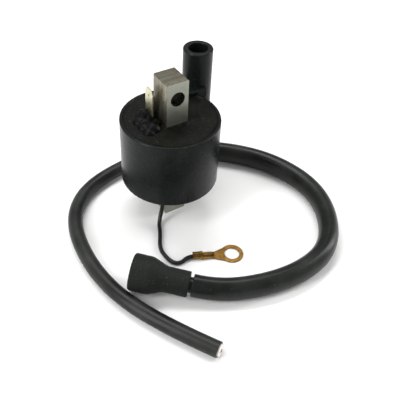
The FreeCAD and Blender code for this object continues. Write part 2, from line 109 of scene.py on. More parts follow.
# ---- sizes and colours -----------------------------------------------------------------------
def linear(code):
    """Linear colour from an sRGB hex code."""
    shares = np.array([int(code[k:k + 2], 16) for k in (1, 3, 5)]) / 255.0
    light = np.where(shares <= 0.04045, shares / 12.92, ((shares + 0.055) / 1.055) ** 2.4)
    return (*light.tolist(), 1.0)


def size(name, description, default_mm):
    """Length property with its default given in millimetres."""
    return FloatProperty(name=name, description=description, default=default_mm * MM,
                         min=0.0, precision=5, subtype="DISTANCE", unit="LENGTH")


def paint(name, description, code):
    """Colour property with its default given as an sRGB hex code."""
    return FloatVectorProperty(name=name, description=description, default=linear(code),
                               size=4, min=0.0, max=1.0, subtype="COLOR")


class CoilSizes(bpy.types.PropertyGroup):
    """Sizes of the pieces that are shown in place of plain solids"""
    plate_edge: size("Plate edge", "Width of the softened edge of each core plate", 0.1)
    resin_rise: size("Resin rise", "Height that the resin climbs the core and the cup's wall", 0.45)
    blade_edge: size("Blade edge", "Radius of the stamped tab's edges", 0.18)
    dimple_radius: size("Dimple radius", "Radius of the tab's locking dimple", 1.0)
    dimple_depth: size("Dimple depth", "Depth of the tab's locking dimple", 0.36)
    wire_radius: size("Wire radius", "Outside radius of the earth wire", 1.0)
    lead_radius: size("Lead radius", "Outside radius of the high-tension lead", 3.5)
    insulation_radius: size("Insulation radius", "Radius of the lead's inner insulation", 2.6)
    insulation_stub: size("Insulation stub", "Length of insulation standing out of the cut end", 0.9)
    strand_radius: size("Strand radius", "Radius of one strand of the lead's conductor", 0.18)
    sleeve_across: size("Sleeve half width", "Half of the sleeve's width, level", 4.75)
    sleeve_upright: size("Sleeve half height", "Half of the sleeve's height, upright", 5.6)
    sleeve_lip: size("Sleeve lip", "Radius of the sleeve's cut edges", 0.35)
    bell_radius: size("Bell radius", "Outside radius of the boot's bell", 8.3)
    neck_radius: size("Neck radius", "Outside radius of the boot's neck", 5.75)
    boot_length: size("Boot length", "Length of the boot from mouth to neck", 25.7)
    lug_thickness: size("Lug thickness", "Thickness of the ring terminal's sheet", 0.8)


class CoilColours(bpy.types.PropertyGroup):
    """Main colour of each finish"""
    moulding: paint("Moulding", "Cup and tower", "#121614")
    resin: paint("Resin", "Cast resin in the cup", "#0d0e0a")
    steel: paint("Steel", "Rolled faces of the core plates", "#9d9e93")
    sheared: paint("Sheared steel", "Cut edges of the core plates", "#8b8878")
    tin: paint("Tin", "Plating of the tab", "#c8c5ad")
    dab: paint("Dab", "Sealant round the tab", "#080a08")
    wire: paint("Wire", "Earth wire", "#171817")
    brass: paint("Brass", "Ring terminal", "#8f6c33")
    copper: paint("Copper", "Strands", "#a8694a")
    lead: paint("Lead", "High-tension lead", "#121512")
    insulation: paint("Insulation", "Lead's inner insulation", "#f1ebe5")
    sleeve: paint("Sleeve", "Outer sleeve on the lead", "#0e120e")
    boot: paint("Boot", "Rubber boot", "#161a16")


# ---- materials -------------------------------------------------------------------------------
def per(size_mm):
    """Texture scale that makes a pattern's cells this many millimetres across."""
    return 1.0 / (size_mm * MM)


def add_node(tree, kind, inputs=None, **settings):
    """Adds one node with its settings; each input is a value or another node's output."""
    node = tree.nodes.new(kind)
    for name, value in settings.items():
        setattr(node, name, value)
    for key, value in (inputs or {}).items():
        if isinstance(value, bpy.types.NodeSocket):
            tree.links.new(value, node.inputs[key])
        else:
            node.inputs[key].default_value = value
    return node


def new_finish(name, **constants):
    """Material with one Principled shader: its tree, its shader and its Object coordinates."""
    material = bpy.data.materials.new(name)
    material.use_nodes = True
    tree = material.node_tree
    tree.nodes.clear()
    shader = add_node(tree, "ShaderNodeBsdfPrincipled")
    for key, value in constants.items():
        shader.inputs[key.replace("_", " ")].default_value = value
    add_node(tree, "ShaderNodeOutputMaterial", {"Surface": shader.outputs[0]})
    place = add_node(tree, "ShaderNodeTexCoord").outputs["Object"]
    return material, tree, shader, place


def darker(colour, share):
    """The colour at a share of its brightness."""
    return (*[share * part for part in colour[:3]], 1.0)


def wire_up(tree, shader, colour, roughness, height, depth_mm):
    """Links colour, roughness and a bump of the given depth to a shader."""
    bump = add_node(tree, "ShaderNodeBump", {"Height": height, "Distance": depth_mm * MM, "Strength": 1.0})
    tree.links.new(colour, shader.inputs["Base Color"])
    tree.links.new(roughness, shader.inputs["Roughness"])
    tree.links.new(bump.outputs[0], shader.inputs["Normal"])


def dusted(tree, place, colour, speck_mm, least):
    """The colour with pale specks of dust where a fine noise peaks above a level."""
    noise = add_node(tree, "ShaderNodeTexNoise", {"Vector": place, "Scale": per(speck_mm), "Detail": 1.0})
    peaks = add_node(tree, "ShaderNodeMapRange", {
        "Value": noise.outputs[0], "From Min": least, "From Max": least + 0.06, "To Max": 0.5})
    mixed = add_node(tree, "ShaderNodeMix", {
        0: peaks.outputs[0], 6: colour, 7: linear("#6f706a")}, data_type="RGBA")
    return mixed.outputs[2]


def mottled(name, slow, fine, depth_mm, colours, gloss, cover=(0.0, 1.0, 1.0), dust=None, **constants):
    """Finish of two noises, each given as (cell in mm, detail, distortion). The slow one mixes the
    two colours and sets the roughness between gloss's two values, and the fine one is a bump. Cover
    is (start, end, most): the second colour's share rises to most as the slow noise goes from start
    to end. Dust is (speck in mm, level)."""
    material, tree, shader, place = new_finish(name, **constants)
    broad, small = [add_node(tree, "ShaderNodeTexNoise", {
        "Vector": place, "Scale": per(cell), "Detail": detail, "Distortion": distortion,
    }) for cell, detail, distortion in (slow, fine)]
    start, end, most = cover
    share = add_node(tree, "ShaderNodeMapRange", {
        "Value": broad.outputs[0], "From Min": start, "From Max": end, "To Max": most})
    tint = add_node(tree, "ShaderNodeMix", {
        0: share.outputs[0], 6: colours[0], 7: colours[1]}, data_type="RGBA")
    shade = dusted(tree, place, tint.outputs[2], *dust) if dust else tint.outputs[2]
    rough = add_node(tree, "ShaderNodeMapRange", {
        "Value": broad.outputs[0], "From Min": 0.3, "From Max": 0.7, "To Min": gloss[0], "To Max": gloss[1]})
    wire_up(tree, shader, shade, rough.outputs[0], small.outputs[0], depth_mm)
    return material


def moulded_nylon(colour):
    """Glass-filled nylon, injection moulded. Satin black: slow flow marks change its gloss, and a
    fine peel breaks up its reflections."""
    return mottled("glass_filled_nylon_moulded", (11.0, 3.0, 0.6), (1.1, 2.0, 0.0), 0.012,
                   (darker(colour, 0.75), darker(colour, 1.3)), (0.23, 0.32), dust=(0.5, 0.72),
                   Specular_IOR_Level=0.13)


def cast_resin(colour):
    """Epoxy cast into the cup and left as it set: nearly matt, brownish black, with a faint skin
    texture and small pits."""
    return mottled("epoxy_cast", (6.0, 4.0, 0.0), (1.4, 3.0, 0.0), 0.06,
                   (darker(colour, 0.6), darker(colour, 1.7)), (0.36, 0.55), dust=(0.45, 0.7),
                   Specular_IOR_Level=0.08)


def rolled_steel(colour):
    """Electrical steel sheet with its thin grey coating, rolled along the core: fine lines run up
    the face, over soft patches of wear."""
    material, tree, shader, place = new_finish("electrical_steel_rolled", Metallic=0.85)
    lines = add_node(tree, "ShaderNodeMapping", {"Vector": place, "Scale": (per(0.35), per(0.35), per(9.0))})
    brushed = add_node(tree, "ShaderNodeTexNoise", {"Vector": lines.outputs[0], "Scale": 1.0, "Detail": 3.0})
    patch = add_node(tree, "ShaderNodeTexNoise", {"Vector": place, "Scale": per(5.0), "Detail": 4.0})
    fine = add_node(tree, "ShaderNodeMix", {
        0: brushed.outputs[0], 6: darker(colour, 0.78), 7: darker(colour, 1.12)}, data_type="RGBA")
    stain = add_node(tree, "ShaderNodeMapRange", {
        "Value": patch.outputs[0], "From Min": 0.52, "From Max": 0.75, "To Max": 0.35})
    worn = add_node(tree, "ShaderNodeMix", {
        0: stain.outputs[0], 6: fine.outputs[2], 7: linear("#6d6a58")}, data_type="RGBA")
    gloss = add_node(tree, "ShaderNodeMapRange", {
        "Value": patch.outputs[0], "From Min": 0.3, "From Max": 0.7, "To Min": 0.34, "To Max": 0.46})
    wire_up(tree, shader, worn.outputs[2], gloss.outputs[0], brushed.outputs[0], 0.01)
    return material


def sheared_steel(colour):
    """Cut edges of the plates: every plate takes its own tone, with burnished streaks along the
    cut and light brown rust. The walls of the cross holes are painted nearly black, as painted shade in the
    holes."""
    material, tree, shader, place = new_finish("electrical_steel_sheared", Metallic=0.95)
    parts = add_node(tree, "ShaderNodeSeparateXYZ", {0: place})
    core_low, core_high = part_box("core_laminations")
    pitch = (core_high.y - core_low.y) / PLATES
    plate = add_node(tree, "ShaderNodeMath", {0: parts.outputs[1], 1: pitch}, operation="SNAP")
    tone = add_node(tree, "ShaderNodeTexWhiteNoise", {"W": plate.outputs[0]}, noise_dimensions="1D")
    along = add_node(tree, "ShaderNodeMapping", {"Vector": place, "Scale": (per(1.6), per(0.3), per(5.0))})
    streak = add_node(tree, "ShaderNodeTexNoise", {"Vector": along.outputs[0], "Scale": 1.0, "Detail": 3.0})
    rust = add_node(tree, "ShaderNodeTexNoise", {"Vector": place, "Scale": per(3.0), "Detail": 4.0})
    plates = add_node(tree, "ShaderNodeMix", {
        0: tone.outputs[0], 6: darker(colour, 0.62), 7: darker(colour, 1.25)}, data_type="RGBA")
    shade = add_node(tree, "ShaderNodeMapRange", {
        "Value": streak.outputs[0], "From Min": 0.35, "From Max": 0.65, "To Min": 0.0, "To Max": 0.5})
    cut = add_node(tree, "ShaderNodeMix", {
        0: shade.outputs[0], 6: plates.outputs[2], 7: darker(colour, 0.5)}, data_type="RGBA")
    spread = add_node(tree, "ShaderNodeMapRange", {
        "Value": rust.outputs[0], "From Min": 0.45, "From Max": 0.7, "To Max": 0.4})
    brown = add_node(tree, "ShaderNodeMix", {
        0: spread.outputs[0], 6: cut.outputs[2], 7: linear("#6b5642")}, data_type="RGBA")
    gloss = add_node(tree, "ShaderNodeMapRange", {
        "Value": streak.outputs[0], "From Min": 0.3, "From Max": 0.7, "To Min": 0.24, "To Max": 0.38})
    aside = add_node(tree, "ShaderNodeMath", {0: parts.outputs[0]}, operation="ABSOLUTE")
    side_face = add_node(tree, "ShaderNodeMapRange", {
        "Value": aside.outputs[0], "From Min": core_high.x - 1.6 * MM, "From Max": core_high.x - 1.0 * MM})
    half_tall, level = (core_high.z - core_low.z) / 2, (core_high.z + core_low.z) / 2
    from_middle = add_node(tree, "ShaderNodeMath", {0: parts.outputs[2], 1: level}, operation="SUBTRACT")
    from_level = add_node(tree, "ShaderNodeMath", {0: from_middle.outputs[0]}, operation="ABSOLUTE")
    end_face = add_node(tree, "ShaderNodeMapRange", {
        "Value": from_level.outputs[0], "From Min": half_tall - 3.0 * MM, "From Max": half_tall - 2.0 * MM})
    outer_face = add_node(tree, "ShaderNodeMath", {
        0: side_face.outputs[0], 1: end_face.outputs[0]}, operation="MAXIMUM")
    # Painted shade: sheared faces away from the core's sides and ends, which are the walls of the cross
    # holes, are painted at 0.12 of the colour.
    hole_shade = add_node(tree, "ShaderNodeMix", {
        0: outer_face.outputs[0], 6: darker(colour, 0.12), 7: brown.outputs[2]}, data_type="RGBA")
    wire_up(tree, shader, hole_shade.outputs[2], gloss.outputs[0], streak.outputs[0], 0.03)
    return material


def tinned_brass(colour):
    """Brass sheet, tinned and stamped: a warm silver with a soft shine, fine handling scratches
    and brass showing through in patches."""
    material, tree, shader, place = new_finish("brass_tinned", Metallic=1.0)
    worn = add_node(tree, "ShaderNodeTexNoise", {"Vector": place, "Scale": per(2.2), "Detail": 4.0})
    lines = add_node(tree, "ShaderNodeMapping", {
        "Vector": place, "Rotation": (0.35, 0.0, 0.0), "Scale": (per(0.5), per(0.16), per(4.0))})
    scratch = add_node(tree, "ShaderNodeTexNoise", {"Vector": lines.outputs[0], "Scale": 1.0, "Detail": 2.0})
    through = add_node(tree, "ShaderNodeMapRange", {
        "Value": worn.outputs[0], "From Min": 0.45, "From Max": 0.72, "To Max": 0.6})
    tint = add_node(tree, "ShaderNodeMix", {
        0: through.outputs[0], 6: colour, 7: linear("#b3a276")}, data_type="RGBA")
    gloss = add_node(tree, "ShaderNodeMapRange", {
        "Value": worn.outputs[0], "From Min": 0.3, "From Max": 0.7, "To Min": 0.24, "To Max": 0.4})
    wire_up(tree, shader, tint.outputs[2], gloss.outputs[0], scratch.outputs[0], 0.01)
    return material


def silicone_dab(colour):
    """Black sealant pressed on by hand: satin, with faint wrinkles."""
    wrinkle = (1.6, 3.0, 0.8)
    return mottled("silicone_sealant", wrinkle, wrinkle, 0.04,
                   (darker(colour, 0.5), darker(colour, 1.5)), (0.34, 0.5), Specular_IOR_Level=0.08)


def extruded_jacket(name, colour, specular, gloss, bloom):
    """Extruded cable skin: even and black, with a faint grey bloom where it has been handled and a
    very fine drag texture."""
    return mottled(name, (14.0, 3.0, 0.0), (0.7, 2.0, 0.0), 0.012, (colour, linear("#4a4d49")), gloss,
                   cover=(0.4, 0.75, bloom), dust=(0.5, 0.73), Specular_IOR_Level=specular)


def moulded_rubber(colour):
    """Rubber moulded in a blasted tool: matt grey-black, with a fine grain and a dusty bloom. The
    real grain is about 0.1 mm. It is drawn at 0.35 mm, so that it shows."""
    return mottled("rubber_moulded", (4.5, 4.0, 0.0), (0.35, 2.0, 0.0), 0.025,
                   (darker(colour, 0.7), darker(colour, 1.5)), (0.55, 0.75), dust=(0.5, 0.7),
                   Specular_IOR_Level=0.14, Sheen_Weight=0.02, Sheen_Roughness=0.5)


def stamped_brass(colour):
    """Brass sheet, stamped, folded and left bare: golden where it is clean, with brown tarnish in
    patches and fine stamping lines."""
    return mottled("brass_stamped", (2.6, 4.0, 0.4), (0.35, 2.0, 0.0), 0.015,
                   (colour, linear("#5d4526")), (0.26, 0.46), cover=(0.38, 0.66, 0.85), Metallic=1.0)


def bare_metal(name, colour, stain, patch_mm, gloss):
    """Bare drawn or turned metal with darker oxidised patches."""
    return mottled(name, (patch_mm, 3.0, 0.0), (0.2, 1.0, 0.0), 0.008, (colour, stain),
                   (gloss, gloss + 0.15), cover=(0.4, 0.7, 0.7), Metallic=1.0)


def pale_plastic(name, colour, shade, patch_mm, gloss):
    """Pale polymer or paper: nearly white, faintly mottled."""
    patch = (patch_mm, 4.0, 0.0)
    return mottled(name, patch, patch, 0.02, (shade, colour), (gloss, gloss + 0.12))


def enamelled_winding(name, wire_mm):
    """Enamelled copper wire wound in level layers: one band for each turn, a little uneven. Each band runs
    from painted shade, dark brown in the groove between two turns, to the copper's colour.
    """
    material, tree, shader, place = new_finish(name, Metallic=0.6, Coat_Weight=0.6, Coat_Roughness=0.15)
    turns = add_node(tree, "ShaderNodeTexWave", {
        "Vector": place, "Scale": per(wire_mm) / 20.0, "Distortion": 0.4, "Detail": 1.0},
        wave_type="BANDS", bands_direction="Z")
    drift = add_node(tree, "ShaderNodeTexNoise", {"Vector": place, "Scale": per(3.0), "Detail": 2.0})
    # Painted shade: the bands are dark brown in the grooves between turns.
    tint = add_node(tree, "ShaderNodeMix", {
        0: turns.outputs[1], 6: linear("#4a2112"), 7: linear("#b5622f")}, data_type="RGBA")
    rough = add_node(tree, "ShaderNodeMapRange", {
        "Value": drift.outputs[0], "From Min": 0.3, "From Max": 0.7, "To Min": 0.3, "To Max": 0.42})
    wire_up(tree, shader, tint.outputs[2], rough.outputs[0], turns.outputs[1], 0.3 * wire_mm)
    return material


# ---- shapes ----------------------------------------------------------------------------------
def grid_quads(rows, columns, closed_rows, closed_columns):
    """Quads between neighbours of a grid of points that are numbered row by row."""
    row = np.arange(rows if closed_rows else rows - 1)[:, None]
    column = np.arange(columns if closed_columns else columns - 1)[None, :]
    next_row, next_column = (row + 1) % rows, (column + 1) % columns
    corners = [row * columns + column, next_row * columns + column,
               next_row * columns + next_column, row * columns + next_column]
    return np.stack(corners, axis=-1).reshape(-1, 4)


def add_piece(name, surfaces, material, body, replaced=None, crease=40.0):
    """Makes one object of several grids of points. Each surface is (points, closed rows, closed
    columns). Points that meet are merged, faces are turned outwards, and edges sharper than the
    crease angle in degrees stay sharp. The replaced CAD node, if there is one, is not shown."""
    points, quads, first = [], [], 0
    for grid, closed_rows, closed_columns in surfaces:
        rows, columns, _ = grid.shape
        points.append(grid.reshape(-1, 3))
        quads.append(first + grid_quads(rows, columns, closed_rows, closed_columns))
        first += rows * columns
    mesh = bpy.data.meshes.new(name)
    mesh.from_pydata(np.concatenate(points), [], np.concatenate(quads))
    work = bmesh.new()
    work.from_mesh(mesh)
    bmesh.ops.remove_doubles(work, verts=work.verts, dist=1e-6)
    bmesh.ops.dissolve_degenerate(work, edges=work.edges, dist=1e-7)
    bmesh.ops.recalc_face_normals(work, faces=work.faces)
    work.to_mesh(mesh)
    work.free()
    mesh.shade_smooth()
    mesh.set_sharp_from_angle(angle=math.radians(crease))
    piece = bpy.data.objects.new(name, mesh)
    piece.data.materials.append(material)
    bpy.context.scene.collection.objects.link(piece)
    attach(piece, body)
    if replaced:
        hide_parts(replaced)


def dress(node, material):
    """Gives a CAD node its finish."""
    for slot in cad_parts[node].material_slots:
        slot.material = material


def soft_steps(low, high, count, ends=0.5):
    """Numbers from low to high that crowd towards both ends: an even spread bent by a cosine."""
    even = np.linspace(0.0, 1.0, count)
    eased = (1.0 - np.cos(np.pi * even)) / 2.0
    return low + (high - low) * ((1.0 - ends) * even + ends * eased)


def quarter(radius, count, start, end):
    """Points (distance, height) of an arc about the origin between two angles in degrees."""
    angle = np.radians(np.linspace(start, end, count))
    return np.column_stack([radius * np.cos(angle), radius * np.sin(angle)])


def smooth_step(value):
    """Rises smoothly from 0 to 1: 3v^2 - 2v^3, held at its ends."""
    held = np.clip(value, 0.0, 1.0)
    return held * held * (3.0 - 2.0 * held)


def unit(vectors):
    """Vectors at length one."""
    return vectors / np.linalg.norm(vectors, axis=-1, keepdims=True)


def cord_curve(name, route, radius):
    """Curve of one open NURBS spline of order 3 that has the route's points as its control points."""
    data = bpy.data.curves.new(name, "CURVE")
    data.dimensions = "3D"
    data.resolution_u = 20
    data.bevel_depth = radius
    data.bevel_resolution = 10
    data.use_fill_caps = radius > 0.0
    spline = data.splines.new("NURBS")
    spline.points.add(len(route) - 1)
    spline.points.foreach_set("co", np.column_stack([route, np.ones(len(route))]).ravel())
    spline.order_u = 3
    spline.use_endpoint_u = True
    return bpy.data.objects.new(name, data)


def smooth_line(route):
    """Points on a route's smooth line, read from its curve with no bevel, and how far each one is
    from the start."""
    curve = cord_curve("line", route, 0.0)
    mesh = bpy.data.meshes.new_from_object(curve)
    points = np.empty(3 * len(mesh.vertices))
    mesh.vertices.foreach_get("co", points)
    points = points.reshape(-1, 3)
    bpy.data.meshes.remove(mesh)
    bpy.data.curves.remove(curve.data)
    steps = np.linalg.norm(np.diff(points, axis=0), axis=1)
    return points, np.concatenate([[0.0], np.cumsum(steps)])


def stations(route, distances):
    """Centre, forward, level sideways and upward vectors at distances along a smooth line."""
    points, reach = smooth_line(route)
    slope = np.gradient(points, reach, axis=0)
    centre = np.column_stack([np.interp(distances, reach, points[:, k]) for k in range(3)])
    forward = unit(np.column_stack([np.interp(distances, reach, slope[:, k]) for k in range(3)]))
    side = unit(np.cross(forward, UP))
    return centre, forward, side, np.cross(side, forward)


def hoops(centre, side, up, across, upright, columns):
    """A hoop of points at every centre: centre + across cos(a) side + upright sin(a) up, with the
    angle a in even steps."""
    angle = np.linspace(0.0, 2.0 * np.pi, columns, endpoint=False)
    level = np.multiply.outer(across, np.cos(angle))[:, :, None] * side[:, None, :]
    tall = np.multiply.outer(upright, np.sin(angle))[:, :, None] * up[:, None, :]
    return centre[:, None, :] + level + tall


def turned(profile, origin, axis, columns):
    """Surface of revolution: each (distance, radius) of a profile goes round the axis."""
    profile = np.asarray(profile)
    side = np.broadcast_to(unit(np.cross(axis, UP)), (len(profile), 3))
    up = np.cross(side, axis)
    centre = origin + profile[:, :1] * axis
    return hoops(centre, side, up, profile[:, 1], profile[:, 1], columns)


def strand_bundle(origin, axis, strand, low, high, lay_mm, uneven):
    """Nineteen strands, one in the middle, then six, then twelve, twisted together: a strand's
    angle grows with distance, by one turn for each lay length. Their ends are rounded, and end
    unevenly."""
    side = unit(np.cross(axis, UP))
    up = np.cross(side, axis)
    surfaces = []
    for ring, count in ((0.0, 1), (2.0, 6), (4.0, 12)):
        for index in range(count):
            end = high - uneven * ((index * 7 + count * 3) % 5) / 4.0
            share = np.array([0.0, 0.75, 1.0, 1.0, 1.0, 1.0, 1.0, 0.8, 0.45, 0.0])
            inset = np.array([0.0, 0.0, 0.2, 0.0, 0.0, 0.0, -0.5, -0.2, -0.05, 0.0]) * strand
            reach = np.array([low, low, low, low, (low + end) / 2, end, end, end, end, end]) + inset
            angle = 2.0 * np.pi * (index / count + reach / (lay_mm * MM))
            out = np.cos(angle)[:, None] * side + np.sin(angle)[:, None] * up
            centre = origin + reach[:, None] * axis + ring * strand * out
            level = np.broadcast_to(side, centre.shape)
            surfaces.append((hoops(centre, level, np.broadcast_to(up, centre.shape),
                                   strand * share, strand * share, 8), False, True))
    return surfaces


# ---- operators: cords and the pieces on them -------------------------------------------------
def boot_frame():
    """Centre of the boot's mouth and unit vector from its mouth to its neck."""
    heading = unit(LEAD_ROUTE[1] - LEAD_ROUTE[0])
    return LEAD_ROUTE[0] - BOOT_FLOOR * heading, heading


class COIL_OT_rubber_boot(bpy.types.Operator):
    """Make the rubber boot on the end of the high-tension lead"""
    bl_idname = "coil.rubber_boot"
    bl_label = "Rubber boot"

    def execute(self, context):
        """Turned shell. Its outline is straight runs (bell, flare, neck) averaged over a window of
        2.6 mm, which rounds the corners between them, with a rounded lip at the mouth and at the
        neck; inside are the cup for the tower and the bore for the lead."""
        sizes = context.scene.coil_sizes
        mouth, heading = boot_frame()
        bell, neck, length = sizes.bell_radius, sizes.neck_radius, sizes.boot_length
        lip, end, bore, cup = 1.1 * MM, 0.5 * MM, 3.56 * MM, 7.15 * MM
        reach = np.linspace(lip, length - end, 90)
        window = np.linspace(-1.3 * MM, 1.3 * MM, 21)
        straight = np.interp(reach[:, None] + window,
                             [-1.0, 8.5 * MM, 15.0 * MM, 1.0], [bell, bell, neck, neck])
        skin = np.column_stack([reach, straight.mean(axis=1)])
        mouth_lip = np.array([lip, bell - lip]) + quarter(lip, 9, 180, 90)
        neck_end = np.array([length - end, neck - end]) + quarter(end, 6, 90, 0)
        inside = np.array([
            (length, bore + 0.3 * MM), (length - 0.3 * MM, bore), (BOOT_FLOOR + 0.3 * MM, bore),
            (BOOT_FLOOR, bore + 0.3 * MM), (BOOT_FLOOR, cup - 0.6 * MM), (BOOT_FLOOR - 0.6 * MM, cup),
            (4.0 * MM, cup), (0.3 * MM, cup), (0.0, cup + 0.25 * MM)])
        profile = np.concatenate([mouth_lip[:-1], skin, neck_end[1:], inside])
        add_piece("rubber_boot", [(turned(profile, mouth, heading, 96), True, True)],
                  moulded_rubber(context.scene.coil_colours.boot), "boot", "lead_boot")
        return {"FINISHED"}


class COIL_OT_outer_sleeve(bpy.types.Operator):
    """Make the thick sleeve over the front and right part of the lead"""
    bl_idname = "coil.outer_sleeve"
    bl_label = "Outer sleeve"

    def execute(self, context):
        """Oval hose along the lead's smooth line. At every station the section is the outer oval
        drawn in by a share w towards the round bore: w is 0 on the skin, 1 on the bore, and runs
        through a quarter circle at both cut ends. The oval's centre is lifted until it rests on
        the floor."""
        sizes = context.scene.coil_sizes
        points, reach = smooth_line(LEAD_ROUTE)
        mouth, heading = boot_frame()
        past_mouth, last = 27.0 * MM, np.array([27.35, 25.1, 5.3]) * MM
        first = mouth + past_mouth * heading
        start, stop = [reach[np.argmin(np.linalg.norm(points - q, axis=1))] for q in (first, last)]
        across, upright, lip = sizes.sleeve_across, sizes.sleeve_upright, sizes.sleeve_lip
        bore = sizes.lead_radius + 0.08 * MM
        wall = across - bore
        corner = np.array([lip, lip]) - quarter(lip, 7, 0, 90)
        run = np.linspace(start + lip, stop - lip, 240)
        back = np.linspace(stop, start, 80)
        distance = np.concatenate([start + corner[:, 0], run[1:-1], stop - corner[::-1, 0], back])
        share = np.concatenate([corner[:, 1] / wall, 0 * run[1:-1], corner[::-1, 1] / wall, 0 * back + 1.0])
        centre, _, side, up = stations(LEAD_ROUTE, distance)
        oval_across = across + (bore - across) * share
        oval_upright = upright + (bore - upright) * share
        rest = np.maximum(0.0, upright - centre[:, 2]) * (1.0 - share)
        centre = centre + rest[:, None] * UP
        hose = hoops(centre, side, up, oval_across, oval_upright, 56)
        material = extruded_jacket(
            "neoprene_sleeve", context.scene.coil_colours.sleeve, 0.2, (0.28, 0.4), 0.2)
        add_piece("outer_sleeve", [(hose, True, True)], material, "coil", "lead_sleeve")
        return {"FINISHED"}


class COIL_OT_cut_end(bpy.types.Operator):
    """Make the white insulation and the copper strands at the lead's cut end"""
    bl_idname = "coil.cut_end"
    bl_label = "Cut end"

    def execute(self, context):
        """The insulation is a turned tube that stands a little out of the jacket, with a softened
        edge, cut slightly askew. The strands are a twisted bundle."""
        sizes, colours = context.scene.coil_sizes, context.scene.coil_colours
        centre, forward, side, _ = stations(LEAD_ROUTE, np.array([1.0]))
        centre, forward, side = centre[0], forward[0], side[0]
        outer, hole = sizes.insulation_radius, 5.1 * sizes.strand_radius
        stub, soft = sizes.insulation_stub, 0.22 * MM
        profile = np.concatenate([
            [(-2.0 * MM, hole), (-2.0 * MM, outer)],
            np.array([stub - soft, outer - soft]) + quarter(soft, 6, 90, 0),
            [(stub, 1.5 * MM), (stub - 0.05 * MM, hole + 0.08 * MM), (stub - 0.3 * MM, hole)]])
        tube = turned(profile, centre, forward, 48)
        ahead = (tube - centre) @ forward
        askew = 0.07 * ((tube - centre) @ side) * smooth_step((ahead + 0.5 * MM) / MM)
        tube = tube + askew[..., None] * forward
        white = pale_plastic("polyethylene_insulation", colours.insulation,
                             darker(colours.insulation, 0.8), 1.5, 0.4)
        add_piece("cut_insulation", [(tube, True, True)], white, "coil", "lead_insulation")
        strands = strand_bundle(
            centre, forward, sizes.strand_radius, -1.5 * MM, stub + 0.15 * MM, 14.0, 0.2 * MM)
        copper = bare_metal("copper_strand_drawn", colours.copper, linear("#6e4634"), 0.8, 0.35)
        add_piece("cut_strands", strands, copper, "coil", "lead_conductor")
        return {"FINISHED"}


class COIL_OT_high_tension_lead(bpy.types.Operator):
    """Lay the high-tension lead along its route"""
    bl_idname = "coil.high_tension_lead"
    bl_label = "High-tension lead"

    def execute(self, context):
        lead = cord_curve("high_tension_lead", LEAD_ROUTE, context.scene.coil_sizes.lead_radius)
        lead.data.materials.append(
            extruded_jacket("epdm_lead", context.scene.coil_colours.lead, 0.22, (0.34, 0.46), 0.35))
        context.scene.collection.objects.link(lead)
        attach(lead, "coil")
        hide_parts("lead_jacket")
        return {"FINISHED"}


def lug_frame():
    """Origin, heading and sideways vector of the ring terminal. Its own lengths are measured from
    the last corner of the earth wire's route, on the floor."""
    heading = unit(WIRE_ROUTE[-1] - WIRE_ROUTE[-2])
    return WIRE_ROUTE[-2] * (1.0, 1.0, 0.0), heading, np.cross(UP, heading)


def lug_place(along, sideways, height):
    """Points of the ring terminal from lengths in millimetres along it, to its left and up."""
    origin, heading, left = lug_frame()
    parts = np.broadcast_arrays(along, sideways, height)
    along, sideways, height = [MM * np.asarray(part, dtype=float)[..., None] for part in parts]
    return origin + along * heading + sideways * left + height * UP


def sheet_section(count, edge, thickness):
    """Closed section of a stamped sheet, as (share across, extra across, height) in millimetres:
    flat above and below, with a quarter circle of the edge radius at each corner."""
    arc = quarter(edge, 4, 0, 90)
    flat = np.linspace(0.0, 1.0, count)
    top, low = thickness - edge, edge
    outer = [(1.0, x, low - y) for x, y in arc[::-1]] + [(1.0, x, top + y) for x, y in arc]
    upper = [(share, 0.0, thickness) for share in flat[::-1][1:-1]]
    inner = [(0.0, -x, top + y) for x, y in arc[::-1]] + [(0.0, -x, low - y) for x, y in arc]
    lower = [(share, 0.0, 0.0) for share in flat[1:-1]]
    return np.array(outer + upper + inner + lower)


def lug_plate(thickness):
    """Flat ring with its tapered neck. Round the ring's centre at angle a, the sheet runs from the
    hole's radius to R(a): the ring's radius, or where it is further, the neck's slanted side
    5.294 / (|sin a| - 0.3936 cos a), or the neck's end 10.4 / |cos a|."""
    angle = np.linspace(0.0, 2.0 * np.pi, 160, endpoint=False)
    cosine, sine = np.cos(angle), np.abs(np.sin(angle))
    behind = cosine < -0.15
    slant = 5.294 / np.where(behind, sine - 0.3936 * cosine, 1.0)
    square = 10.4 / np.where(behind, -cosine, 1.0)
    outer = np.where(behind, np.maximum(RING_RADIUS, np.minimum(slant, square)), RING_RADIUS)
    edge = 0.14
    section = sheet_section(9, edge, thickness)
    low, high = RING_HOLE + edge, outer - edge
    reach = low + np.multiply.outer(high - low, section[:, 0]) + section[:, 1]
    height = np.broadcast_to(section[:, 2], reach.shape)
    return lug_place(RING_MIDDLE + reach * np.cos(angle)[:, None], reach * np.sin(angle)[:, None], height)


